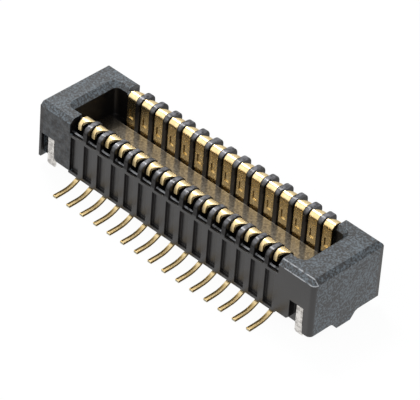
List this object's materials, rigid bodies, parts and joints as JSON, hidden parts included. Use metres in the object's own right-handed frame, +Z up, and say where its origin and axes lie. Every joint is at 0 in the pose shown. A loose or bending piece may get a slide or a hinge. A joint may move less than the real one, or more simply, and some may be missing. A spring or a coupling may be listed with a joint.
{
  "type": "board to board connector",
  "caption": "Fine-pitch surface-mount board to board connector half: black moulded housing with an open trough, gold-plated formed contacts along both sides and hold-down nails.",
  "frame": {"origin": "centre of the bounding box's bottom face, on the board's surface, midway between the two rows of soldering feet", "axes": "+X along the contact rows, +Y from the front row to the rear row, +Z up from the board towards the mating half"},
  "size_m": [0.0098, 0.004, 0.002],
  "materials": {
    "housing": "black glass-filled moulding, fine grey fleck, satin in the trough",
    "contact": "gold plating on copper alloy",
    "nail": "matte tin plating"
  },
  "bodies": {
    "root": {"housing": "housing", "contact_front_01": "contact", "contact_front_02": "contact", "contact_front_03": "contact", "contact_front_04": "contact", "contact_front_05": "contact", "contact_front_06": "contact", "contact_front_07": "contact", "contact_front_08": "contact", "contact_front_09": "contact", "contact_front_10": "contact", "contact_front_11": "contact", "contact_front_12": "contact", "contact_front_13": "contact", "contact_front_14": "contact", "contact_front_15": "contact", "contact_rear_01": "contact", "contact_rear_02": "contact", "contact_rear_03": "contact", "contact_rear_04": "contact", "contact_rear_05": "contact", "contact_rear_06": "contact", "contact_rear_07": "contact", "contact_rear_08": "contact", "contact_rear_09": "contact", "contact_rear_10": "contact", "contact_rear_11": "contact", "contact_rear_12": "contact", "contact_rear_13": "contact", "contact_rear_14": "contact", "contact_rear_15": "contact", "nail_front_left": "nail", "nail_front_right": "nail", "nail_rear_left": "nail", "nail_rear_right": "nail"}
  },
  "joints": []
}
